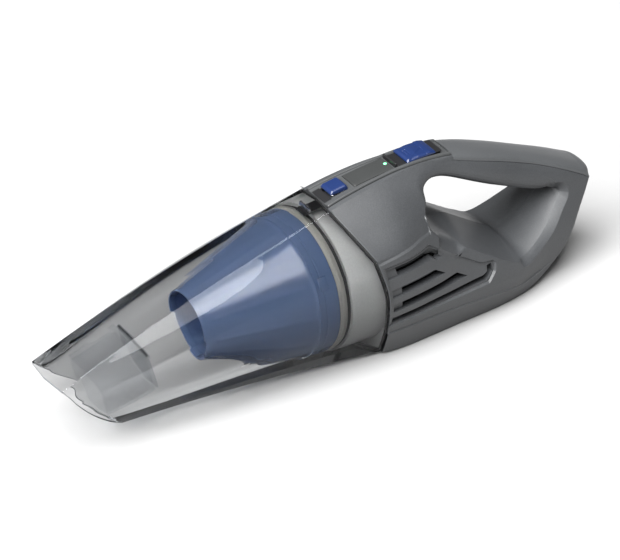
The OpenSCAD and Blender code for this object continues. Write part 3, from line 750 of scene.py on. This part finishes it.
def build_housing(side, name, node):
    s = side
    m = Mesh()
    steps = np.linspace(0, math.pi / 2, 9)
    pts, rad, dep, kind = boundary()
    nrm = normals(pts)
    if within(pts, pts[40:41] - nrm[40:41] * 0.5)[0]:
        nrm = -nrm

    def band(p, n, r, d, lin):
        rows = []
        for f in steps:
            dist = r * ((1 - math.cos(f)) * (1 - lin) + (f / (math.pi / 2)) * lin)
            drop = d * ((1 - math.sin(f)) * (1 - lin) + (1 - f / (math.pi / 2)) * lin)
            q = p + n * dist[:, None]
            y = s * np.maximum(0.05, faces_y(q) - drop)
            rows.append(np.stack([q[:, 0], y, q[:, 1]], 1))
        return rows

    rows = band(pts, nrm, rad, dep, np.zeros(len(pts)))
    flip = s > 0
    out_ids = m.grid(rows, closed=True, flip=not flip)
    lp, lr, ld, ll, lc = loop_line()
    ln = normals(lp)
    if not within(lp, lp[10:11] - ln[10:11] * 0.5)[0]:
        ln = -ln
    loop_rows = band(lp, ln, lr, ld, ll)
    loop_ids = m.grid(loop_rows, closed=True, flip=not flip)

    # inner face of the finger opening, from the edge to the middle plane
    edge = loop_rows[0]
    fr = [0, 0.08, 0.16, 0.25, 0.35, 0.45, 0.55, 0.65, 0.75, 0.85, 0.93, 0.99, 1.0]
    wall = []
    ridge = smooth_step((142 - lp[:, 0]) / 8.0) * smooth_step((90 - lp[:, 1]) / 10.0)
    for f in fr:
        y = edge[:, 1] * (1 - f) + s * 0.04 * f
        c = lc * (f * ridge + math.sin(f * math.pi / 2) * (1 - ridge)) - (0.25 if f > 0.98 else 0.0)
        q = lp - ln * c[:, None]
        wall.append(np.stack([q[:, 0], y, q[:, 1]], 1))
    m.grid(wall, closed=True, flip=flip)

    # underside and back, from the outer edge to the middle plane
    sel = np.where((kind == 1))[0]
    base = rows[0][sel]
    under = []
    for f in (0, 0.2, 0.6, 0.97, 1.0):
        q = base.copy()
        q[:, 1] = base[:, 1] * (1 - f) + s * 0.04 * f
        if f > 0.98:
            q[:, 2] += 0.15
        under.append(q)
    m.grid(under, flip=flip)

    # narrow ledge under the grip cover
    sel = np.where((kind == 2))[0]
    base = rows[0][sel]
    nn = nrm[sel]
    ledge = [base]
    for dy, dn in ((1.5, 0.0), (2.5, 2.0)):
        q = base.copy()
        q[:, 1] = s * np.maximum(0.05, np.abs(base[:, 1]) - dy)
        q[:, 0] += nn[:, 0] * dn
        q[:, 2] += nn[:, 1] * dn
        ledge.append(q)
    m.grid(ledge, flip=flip)

    # shoulder between the side and the control strip
    tb = top_boundary()
    rows3 = []
    for f in np.linspace(0, 1, 6):
        r = []
        for x, z in tb:
            e = edge_line(x)
            y0 = width(x, z - 0.03)
            a = np.array([x, y0, z])
            hw = strip_edge(x) + 0.25
            c = np.array([x, hw, float(top_z(x)) - 2 * hw / e[1]])
            t = float(smooth_step((x - BLEND_FROM) / BLEND_LENGTH))
            mid = (a + c) / 2 * (1 - t) + np.array([x, e[1] + 0.6, e[2] + 0.9]) * t
            r.append((1 - f) ** 2 * a + 2 * f * (1 - f) * mid + f * f * c)
        rows3.append(np.array(r) * np.array([1, s, 1]))
    groove = rows3[-1].copy()
    groove[:, 2] -= 2.0
    rows3 += [groove]
    m.grid(rows3, flip=not flip)

    # lip at the joint
    h = BODY_GRID[0] * np.array([1, s, 1])
    half0 = BODY_GRID[0]
    lips = [(0.5, 0), (2.4, 0.1), (2.6, 12)]
    lrows = []
    for w, dx in lips:
        q = inward(half0, w) + np.array([dx, 0, 0])
        if w == 0.5:
            q[:START] = inward(half0, 0.5)[:START]
        lrows.append(q * np.array([1, s, 1]))
    m.grid(lrows, flip=not flip)
    roof = half0[:START + 1] * np.array([1, s, 1])
    m.grid([roof, (inward(half0, 0.5) * np.array([1, s, 1]))[:START + 1]], flip=not flip)

    # middle of the side face
    ring_a = rows[-1][:, [0, 2]]
    ring_b = loop_rows[-1][:, [0, 2]]
    cv, ce = [], []
    co_ids = []

    def add_ring(r, ids=None):
        n0 = len(cv)
        for i, q in enumerate(r):
            cv.append((float(q[0]), float(q[1])))
            co_ids.append(ids[i] if ids is not None else None)
        ce.extend(close_ring(r, n0))

    def add_line(r):
        n0 = len(cv)
        for q in r:
            cv.append((float(q[0]), float(q[1])))
            co_ids.append(None)
        ce.extend([(n0 + i, n0 + i + 1) for i in range(len(r) - 1)])

    add_ring(ring_a, out_ids[-1])
    add_ring(ring_b, loop_ids[-1])
    vent_rings = []
    for up, dn in VENTS:
        ring = along(np.array(up + dn[::-1] + [up[0]]), 1.3)[:-1]
        vent_rings.append(ring)
        add_ring(ring)
    for off in (0.0, 1.1):
        c = np.array(VENT_PANEL, float)
        pn = normals(c)
        if not within(VENT_PANEL, c[1:2] + pn[1:2] * 0.5)[0]:
            pn = -pn
        q = c + pn * off * 1.25
        add_ring(along(np.array(list(q) + [q[0]]), 1.6)[:-1])
    holes = [ring_b] + vent_rings

    # crease lines of the form that stay sharp
    low_line = np.stack([np.arange(23, 190, 1.6), np.interp(np.arange(23, 190, 1.6), *FRAME_LOW.T)], 1)
    creases = [along(FRAME_TOP, 1.6), along(FRAME_TOP - np.array([0, FRAME_SLOPE]), 1.6), low_line,
               low_line + np.array([0, LEDGE_SLOPE]), np.array([body_lines(u)[7] for u in US])[:, [0, 2]]]
    for line in creases:
        line = line[within(ring_a, line) & (to_line(line, np.vstack([ring_a, ring_a[:1]])) > 0.6)]
        if len(line) > 3:
            add_line(along(line, 1.6))
    grid = []
    for x in np.arange(3, 213, 1.9):
        for z in np.arange(1, 120, 1.9):
            grid.append((x + 0.31 * math.sin(z), z + 0.29 * math.sin(x * 1.3)))
    gp = np.array(grid)

    def in_face(q):
        ok = within(ring_a, q)
        for h in holes:
            ok &= ~within(h, q)
        return ok
    gp = gp[in_face(gp)]
    d = np.min([to_line(gp, np.vstack([h, h[:1]])) for h in [ring_a] + holes], axis=0)
    gp = gp[d > 0.8]
    for q in gp:
        cv.append((float(q[0]), float(q[1])))
        co_ids.append(None)
    ov, _, of_, ovs, _, _ = delaunay_2d_cdt([Vector(v) for v in cv], ce, [], 0, 1e-4)
    flat_pts = np.array([(v.x, v.y) for v in ov])
    ys = faces_y(flat_pts)
    new = {}
    for i, v in enumerate(ov):
        ref = None
        for src in ovs[i]:
            if co_ids[src] is not None:
                ref = co_ids[src]
        if ref is None:
            ref = m.add([(v.x, s * ys[i], v.y)])[0]
        new[i] = ref
    mids = np.array([flat_pts[list(f)].mean(axis=0) for f in of_])
    for f, ok in zip(of_, in_face(mids)):
        if not ok:
            continue
        ids = [new[i] for i in f]
        m.f.append(ids if s < 0 else ids[::-1])
        m.m.append(0)

    # air slots: side walls, a sloping blade in a darker grey of painted shade and a near-black gap of painted
    # shadow along the lower edge
    for (up, dn), ring in zip(VENTS, vent_rings):
        wr = []
        for dd in (0.0, 0.25, 6.0):
            wr.append(np.stack([ring[:, 0], s * (faces_y(ring) - dd), ring[:, 1]], 1))
        m.grid(wr, closed=True, flip=flip)
        n = 40
        a, b = resample(np.array(up, float), n), resample(np.array(dn, float), n)
        # material 1 is the blade's painted shade, material 2 the gap's painted shadow
        for f0, f1, d0, d1, mt in ((0.0, 0.6, 1.6, 4.2, 1), (0.6, 1.0, 6.5, 6.5, 2)):
            rws = []
            for f in np.linspace(f0, f1, 5):
                q = a * (1 - f) + b * f
                dd = d0 + (d1 - d0) * (f - f0) / (f1 - f0)
                rws.append(np.stack([q[:, 0], s * (faces_y(q) - dd), q[:, 1]], 1))
            m.grid(rws, mat=mt, flip=not flip)
    piece(name, m.v, m.f, [BODY, BLADE_PAINTED_SHADE, SLOT_PAINTED_SHADOW], "body", node, face_mat=m.m, sharp=13)


def strip_edge(x, g=0.0):
    return 13.5 - 2.7 * min(1.0, max(0.0, (x - 2) / 56)) + g


build_housing(-1, "housing_right_shell", "housing_right")
build_housing(1, "housing_left_shell", "housing_left")


# ---- control strip -----------------------------------------------------------------------------

BTN_X, BTN_HALF = (10.0, 23.0), 6.6
PANEL_X, PANEL_HALF = (27.5, 59.2), 8.0
TRACK_X = (60.0, 97.0)
KNOB_X, KNOB_HALF = (69.0, 91.5), 9.0
TRACK_TOP = float(top_z(60)) - 0.5


def strip_height(y, hw):
    """Height of the strip's face below its top line, across from the middle to the rail."""
    a = abs(y)
    d = hw - a
    pts = [(0, -0.75), (0.35, -0.2), (0.75, 0.0), (1.9, 0.0), (2.3, -0.2), (2.7, -1.0), (3.1, -1.15),
           (4.2, -1.15)]
    return float(np.interp(d, [p[0] for p in pts], [p[1] for p in pts]))


def build_strip():
    m = Mesh()
    xs = sorted(set([3.6, 3.9, 9.7, 23.3, 27.5, 59.2, 59.9, 97.1, 102.2, 102.5]
                    + list(np.round(np.arange(5, 102, 1.6), 2))))
    inner = [0, 1.5, 3, 4.5, 6.0, 6.9, 7.4, 8.0]

    def cols(x):
        hw = strip_edge(x)
        edge = [hw - d for d in (3.1, 2.7, 2.3, 1.9, 0.75, 0.35, 0.0)]
        c = inner + edge
        return [-v for v in c[::-1][:-1]] + [v for v in c]
    ncol = len(cols(20))
    ids = []
    for x in xs:
        hw = strip_edge(x)
        end = -0.25 if x in (3.6, 102.5) else 0
        ids.append(m.add([(x, y, float(top_z(x)) + strip_height(y, hw) + end) for y in cols(x)]))

    def hole(xc, yc):
        return ((9.7 < xc < 23.3 and abs(yc) < 6.9) or (PANEL_X[0] < xc < PANEL_X[1] and abs(yc) < PANEL_HALF)
                or (59.9 < xc < 97.1 and abs(yc) < strip_edge(xc) - 3.1))
    kept = {}
    for i in range(len(xs) - 1):
        cx = (xs[i] + xs[i + 1]) / 2
        cc = cols(cx)
        for j in range(ncol - 1):
            cy = (cc[j] + cc[j + 1]) / 2
            kept[i, j] = not hole(cx, cy)
            if kept[i, j]:
                front = 3.9 < cx < 9.7 and abs(cy) < 8.0
                m.f.append((ids[i][j], ids[i + 1][j], ids[i + 1][j + 1], ids[i][j + 1]))
                m.m.append(1 if front else 0)
    low = {}

    def lower(k, dz):
        if k not in low:
            v = m.v[k]
            low[k] = m.add([(v[0], v[1], v[2] - dz)])[0]
        return low[k]
    for (i, j), ok in kept.items():
        if not ok:
            continue
        for di, dj, a, b in ((-1, 0, (i, j), (i, j + 1)), (1, 0, (i + 1, j + 1), (i + 1, j)),
                             (0, -1, (i + 1, j), (i, j)), (0, 1, (i, j + 1), (i + 1, j + 1))):
            q = (i + di, j + dj)
            if q in kept and kept[q]:
                continue
            p0, p1 = ids[a[0]][a[1]], ids[b[0]][b[1]]
            m.f.append((p0, p1, lower(p1, 1.7), lower(p0, 1.7)))
            m.m.append(0)
    piece("control_strip_rails", m.v, m.f, [STRIP, BLACK], "body", "control_strip",
          face_mat=m.m, sharp=30)

    # dark inset panel with a slightly crowned face
    m = Mesh()
    rows = []
    for x, dz in [(27.8, -1.6), (27.8, -0.9), (28.2, -0.7)] + [(v, -0.7) for v in np.arange(30, 58, 2.0)] \
            + [(58.6, -0.7), (58.9, -0.9), (58.9, -1.6)]:
        z = float(top_z(x)) + dz
        k = 0.25 if dz > -0.8 else 0.0
        rows.append([(x, -7.8, z - 0.5), (x, -7.8, z - 0.15), (x, -7.4, z), (x, -4, z + k * 0.7),
                     (x, 0, z + k),
                     (x, 4, z + k * 0.7), (x, 7.4, z), (x, 7.8, z - 0.15), (x, 7.8, z - 0.5)])
    m.grid(rows)
    piece("status_panel_face", m.v, m.f, [PANEL], "body", "status_panel", sharp=30)

    # small lit dome at the end of the panel
    m = Mesh()
    z0 = float(top_z(57))
    rows = []
    for r, z in ((1.2, -2.5), (1.2, -0.5), (1.05, -0.25), (0.7, -0.1), (0.25, -0.02)):
        a = np.linspace(0, 2 * math.pi, 28, endpoint=False)
        rows.append(np.stack([57 + r * np.cos(a), r * np.sin(a), np.full(28, z0 + z)], 1))
    ids = m.grid(rows, closed=True)
    m.fan(ids[-1])
    piece("led_dome", m.v, m.f, [LED], "body", "led_lens")


def slab(m, x0, x1, half, z_low, height, nx=24, ny=14, edge=0.5, mat=0):
    """Block with rounded upper edges; height(x, y) gives its top."""
    def axis(a, b, n, e):
        return np.array([a, a + 0.15 * e, a + 0.5 * e, a + e] + list(np.linspace(a + e, b - e, n)[1:-1])
                        + [b - e, b - 0.5 * e, b - 0.15 * e, b])
    xs, ys = axis(x0, x1, nx, edge), axis(-half, half, ny, edge)
    drop = {0: 1.0, 1: 0.45, 2: 0.12}
    rows = []
    for i, x in enumerate(xs):
        r = []
        fi = drop.get(min(i, len(xs) - 1 - i), 0)
        for j, y in enumerate(ys):
            fj = drop.get(min(j, len(ys) - 1 - j), 0)
            r.append((x, y, height(x, y) - edge * min(1.0, math.hypot(fi, fj))))
        rows.append(r)
    ids = m.grid(rows, mat=mat, flip=True)
    ring = ids[0] + [r[-1] for r in ids[1:-1]] + ids[-1][::-1] + [r[0] for r in ids[-2:0:-1]]
    low = m.add([(m.v[k][0], m.v[k][1], z_low) for k in ring])
    m.quads(ring, low, closed=True, mat=mat)
    return ids


def build_controls():
    # blue release button
    m = Mesh()
    b_top = float(top_z(16.5)) + 3.0

    def btn(x, y):
        z = float(np.interp(x, [10, 11.4, 21.6, 23.0], [b_top - 2.2, b_top - 0.8, b_top + 0.35, b_top - 0.5]))
        a = abs(y)
        return z - float(np.interp(a, [0, 5.2, 6.6], [0, 0.12, 0.9]))
    slab(m, *BTN_X, BTN_HALF, b_top - 3.5, btn, 26, 18, 0.5)
    rows = []
    for r, z in ((2, b_top - 3.4), (2, 110.6), (0.8, 110.4), (0.8, 109.7)):
        a = np.linspace(0, 2 * math.pi, 32, endpoint=False)
        rows.append(np.stack([16.5 + r * np.cos(a), r * np.sin(a), np.full(32, z)], 1))
    ids = m.grid(rows, closed=True)
    m.fan(ids[-1], flip=True)
    piece("release_button_cap", m.v, m.f, [BUTTON], "button", "release_button", sharp=32)

    # black track with a raised front lip
    m = Mesh()

    def trk(x, y):
        lip = float(np.interp(x, [60, 60.4, 61.2, 61.6], [2.3, 2.6, 2.6, 0.0]))
        return TRACK_TOP + lip
    slab(m, *TRACK_X, 7.6, TRACK_TOP - 1.0, trk, 90, 10, 0.15)
    piece("slider_track_bed", m.v, m.f, [BLACK], "body", "slider_track", sharp=35)

    # blue slider with an arrow-shaped facet and grip ridges
    m = Mesh()

    def knob(x, y):
        a = abs(y)
        z = float(np.interp(x, [69, 70.5, 78, 87.5, 91.5], [1.5, 2.5, 3.4, 2.9, 1.7]))
        arrow = (x - 70.5) / 14.0
        if 0 < arrow < 1.0:
            reach = 8.2 * (1 - arrow)
            if a > reach:
                z -= 0.55 * min(1.0, (a - reach) / 1.2)
        for c in (72.6, 74.4):
            if a < 3.2:
                z -= 0.35 * math.exp(-((x - c) / 0.35) ** 2)
        z -= float(np.interp(a, [0, 7.6, 9.0], [0, 0.15, 0.9]))
        return TRACK_TOP + z
    slab(m, *KNOB_X, KNOB_HALF, TRACK_TOP + 0.35, knob, 70, 46, 0.4)
    rows = [[(69.4, -3, TRACK_TOP + 0.5), (69.4, 3, TRACK_TOP + 0.5), (73.4, 3, TRACK_TOP + 0.5),
             (73.4, -3, TRACK_TOP + 0.5)],
            [(69.4, -3, 113.5), (69.4, 3, 113.5), (73.4, 3, 113.5), (73.4, -3, 113.5)],
            [(69.9, -1.5, 113.4), (69.9, 1.5, 113.4), (72.8, 1.5, 113.4), (72.8, -1.5, 113.4)],
            [(69.9, -1.5, 109.6), (69.9, 1.5, 109.6), (72.8, 1.5, 109.6), (72.8, -1.5, 109.6)]]
    ids = m.grid(rows, closed=True, flip=True)
    m.fan(ids[-1], flip=True)
    piece("power_slider_cap", m.v, m.f, [BUTTON], "switch_knob", "power_slider", sharp=28)


build_strip()
build_controls()


# ---- grip cover --------------------------------------------------------------------------------

def build_cap():
    n = 110
    top = [(x, float(top_z(x)) - 0.05) for x in np.arange(102.8, 209, 2.0)]
    top += [(210.5, 71.2), (213.2, 69.6), (214.7, 67.8), (214.3, 65.2), (212.6, 62.6)]
    top = resample(spline(top, 1.0), n)
    low = resample(spline([(102.8, 115.7)] + [(x + 0.1, z + 0.25) for x, z in CREASE[1:]], 1.0), n)
    yc = np.array([width(x, z - 0.2) for x, z in low])
    for _ in range(6):
        yc[1:-1] = 0.25 * yc[:-2] + 0.5 * yc[1:-1] + 0.25 * yc[2:]
    th = np.linspace(0, math.pi / 2, 22)
    power = 0.82
    rows = []
    for f in th:
        across_f = math.sin(f) ** power
        up_f = 1 - math.cos(f) ** power if f < math.pi / 2 - 1e-6 else 1.0
        q = top * (1 - up_f) + low * up_f
        rows.append(np.stack([q[:, 0], yc * across_f, q[:, 1]], 1))
    tuck = rows[-1].copy()
    tuck[:, 1] -= 0.35
    tuck[:, 2] -= 0.15
    inner = tuck.copy()
    inner[:, 1] = np.maximum(0.2, inner[:, 1] - 2.2)
    inner[:, 2] += 0.3
    rows += [tuck, inner]
    near = [r * np.array([1, -1, 1]) for r in rows[::-1]]
    whole = near + rows[1:]
    m = Mesh()
    ids = m.grid(whole, flip=True)
    front = [r[0] for r in ids]
    m.fan(front, flip=False)
    piece("grip_cover_cap", m.v, m.f, [CAP], "body", "grip_cover", sharp=50)


build_cap()


# ---- fill mark ---------------------------------------------------------------------------------

def build_mark():
    """Short raised dash low on the near side of the bowl: a plain fill level."""
    m = Mesh()
    t0, t1 = 0.5, 0.53
    rows = []
    for f in np.linspace(-0.5, 0.5, 4):
        r = []
        for t in np.linspace(t0, t1, 12):
            h = bowl_half(t)
            i = MARK_AT + f * 1.4
            p = h[int(i)] * (1 - (i - int(i))) + h[int(i) + 1] * (i - int(i))
            r.append((p[0], -p[1] - 0.12, p[2]))
        rows.append(r)
    m.grid(rows, flip=True)
    piece("fill_mark", m.v, m.f, [PALE], "bowl", None)


MARK_AT = sum(SEG_POINTS[:4]) + 13
build_mark()


# ---- stage -------------------------------------------------------------------------------------

def floor():
    me = bpy.data.meshes.new("stage_floor")
    s = 6.0
    z = -0.0005
    me.from_pydata([(-s, -s, z), (s, -s, z), (s, s, z), (-s, s, z)], [], [(0, 1, 2, 3)])
    ob = bpy.data.objects.new("stage_floor", me)
    bpy.context.scene.collection.objects.link(ob)
    m, nt, out = new_mat("floor_pale")
    b = nt.nodes.new("ShaderNodeBsdfPrincipled")
    n = noise(nt, 3, 2.0)
    col = ramp(nt, n.outputs["Fac"], [(0.3, (0.235, 0.235, 0.235)), (0.7, (0.245, 0.245, 0.245))])
    link(nt, col.outputs["Color"], b.inputs["Base Color"])
    b.inputs["Roughness"].default_value = 0.9
    b.inputs["Specular IOR Level"].default_value = 0.1
    link(nt, b.outputs["BSDF"], out.inputs["Surface"])
    me.materials.append(m)


def light(name, size, power, direction, dist=1.6, size_y=None, target=(0, 0, 0.05)):
    d = bpy.data.lights.new(name, "AREA")
    d.shape = "RECTANGLE"
    d.size = size
    d.size_y = size_y or size
    d.energy = power
    ob = bpy.data.objects.new(name, d)
    bpy.context.scene.collection.objects.link(ob)
    v = Vector(direction).normalized()
    ob.location = Vector(target) + v * dist
    ob.rotation_euler = (-v).to_track_quat("-Z", "Y").to_euler()
    return ob


def camera():
    az, el, roll = math.radians(-31), math.radians(34.5), math.radians(2.5)
    c = Vector((math.sin(az) * math.cos(el), -math.cos(az) * math.cos(el), math.sin(el)))
    r = Vector((math.cos(az), math.sin(az), 0))
    u = c.cross(r)
    r2 = r * math.cos(roll) - u * math.sin(roll)
    u2 = r * math.sin(roll) + u * math.cos(roll)
    dist = 2.8667
    target = Vector(row((0, 0, 60)))
    right, up = 0.0013953, 0.0023256
    pos = target - (-c * dist + r2 * right * dist + u2 * up * dist)
    cam = bpy.data.cameras.new("camera")
    cam.lens = 249.68
    cam.sensor_width = 36
    cam.sensor_fit = "HORIZONTAL"
    cam.clip_end = 50
    ob = bpy.data.objects.new("camera", cam)
    bpy.context.scene.collection.objects.link(ob)
    ob.matrix_world = Matrix(((r2.x, u2.x, c.x, pos.x), (r2.y, u2.y, c.y, pos.y),
                              (r2.z, u2.z, c.z, pos.z), (0, 0, 0, 1)))
    bpy.context.scene.camera = ob


floor()
camera()
light("key_overhead", 3.4, 760, (-0.4, -0.25, 1.0), 3.5)
light("side_left", 1.6, 120, (-1.0, -0.25, 0.55), 3.2)
w = bpy.data.worlds.new("studio")
w.use_nodes = True
w.node_tree.nodes["Background"].inputs["Color"].default_value = (1, 1, 1, 1)
w.node_tree.nodes["Background"].inputs["Strength"].default_value = 0.17
bpy.context.scene.world = w
bpy.context.scene.view_settings.view_transform = "Standard"
